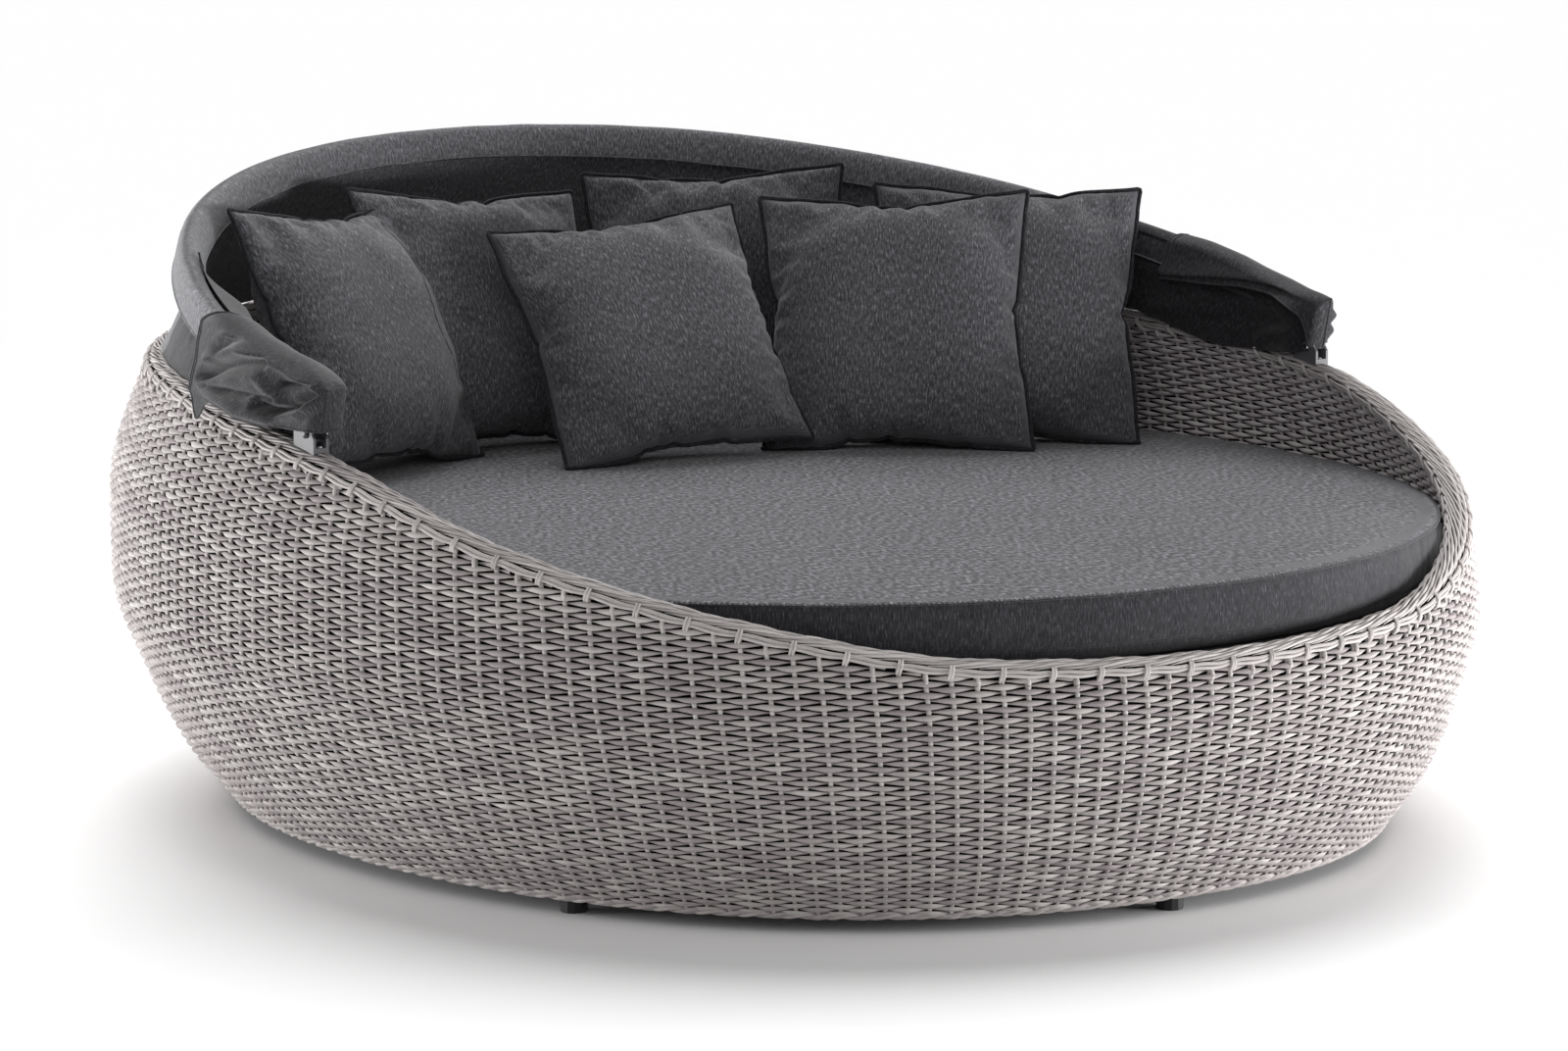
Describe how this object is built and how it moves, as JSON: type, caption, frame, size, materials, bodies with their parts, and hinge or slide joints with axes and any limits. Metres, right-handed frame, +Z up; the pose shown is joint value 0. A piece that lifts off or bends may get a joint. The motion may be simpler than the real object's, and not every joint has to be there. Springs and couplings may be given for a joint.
{
  "type": "outdoor daybed with canopy",
  "caption": "Round wicker nest daybed with a thick round mattress, throw cushions and a fabric canopy on hinged bows folded behind the seat.",
  "frame": {"origin": "on the floor, in the middle of the centre glide's flat underside, on the vertical line that the shell's plan is drawn about", "axes": "+Z up; -Y is the low front of the shell, +Y the high back; +X is on the right of someone who stands outside and looks at the front"},
  "size_m": [1.9538, 2.1968, 0.9609],
  "materials": {
    "wicker": "woven half-round resin strand, light grey taupe, satin",
    "frame": "grey powder coat, satin",
    "steel": "bright stainless fasteners",
    "glide": "moulded black, matte",
    "deck": "flat board, matte",
    "cushion_fabric": "charcoal woven outdoor cloth with a fine fleck, piped seams",
    "canopy_fabric": "charcoal woven canopy cloth, matte"
  },
  "bodies": {
    "base": {"outer_wicker_shell": "wicker", "inner_wicker_liner": "wicker", "rim_border": "wicker", "rim_tube": "frame", "base_ring": "frame", "deck_ring": "frame", "frame_rib_1": "frame", "frame_rib_2": "frame", "frame_rib_3": "frame", "frame_rib_4": "frame", "frame_rib_5": "frame", "frame_rib_6": "frame", "frame_rib_7": "frame", "frame_rib_8": "frame", "deck_panel": "deck", "deck_beam_1": "frame", "deck_beam_2": "frame", "deck_beam_3": "frame", "centre_post": "frame", "centre_glide": "glide", "foot_glide_1": "glide", "foot_glide_2": "glide", "foot_glide_3": "glide", "foot_glide_4": "glide", "foot_glide_5": "glide", "foot_glide_6": "glide", "mattress": "cushion_fabric", "cushion_front_centre": "cushion_fabric", "cushion_front_right": "cushion_fabric", "cushion_left": "cushion_fabric", "cushion_right": "cushion_fabric", "cushion_back_left": "cushion_fabric", "cushion_back_centre": "cushion_fabric", "bow_fixed": "frame", "hinge_bracket_left": "frame", "pivot_bolt_left": "steel", "lock_nut_left": "steel", "leaf_washer_left_1": "glide", "leaf_washer_left_2": "glide", "stay_screw_left": "steel", "hinge_bracket_right": "frame", "pivot_bolt_right": "steel", "lock_nut_right": "steel", "leaf_washer_right_1": "glide", "leaf_washer_right_2": "glide", "stay_screw_right": "steel", "bracket_screw_1": "steel", "bracket_screw_2": "steel", "bracket_screw_3": "steel", "bracket_screw_4": "steel", "rear_skirt": "canopy_fabric"},
    "middle_bow": {"bow_middle": "frame", "canopy_rear_panel": "canopy_fabric"},
    "front_bow": {"bow_front": "frame", "bow_sleeve": "canopy_fabric", "canopy_gather_left": "canopy_fabric", "canopy_gather_right": "canopy_fabric", "canopy_front_panel": "canopy_fabric"}
  },
  "joints": [
    {"name": "middle_bow_hinge", "type": "hinge", "parent": "base", "child": "middle_bow", "pos_m": [0, -0.138, 0.6441], "axis": [1, 0, 0], "range_deg": [0, 50]},
    {"name": "front_bow_hinge", "type": "hinge", "parent": "middle_bow", "child": "front_bow", "pos_m": [0, -0.138, 0.6441], "axis": [1, 0, 0], "range_deg": [0, 50]}
  ],
  "couplings": [
    {"joint": "front_bow_hinge", "follows": "middle_bow_hinge", "ratio": 1}
  ]
}
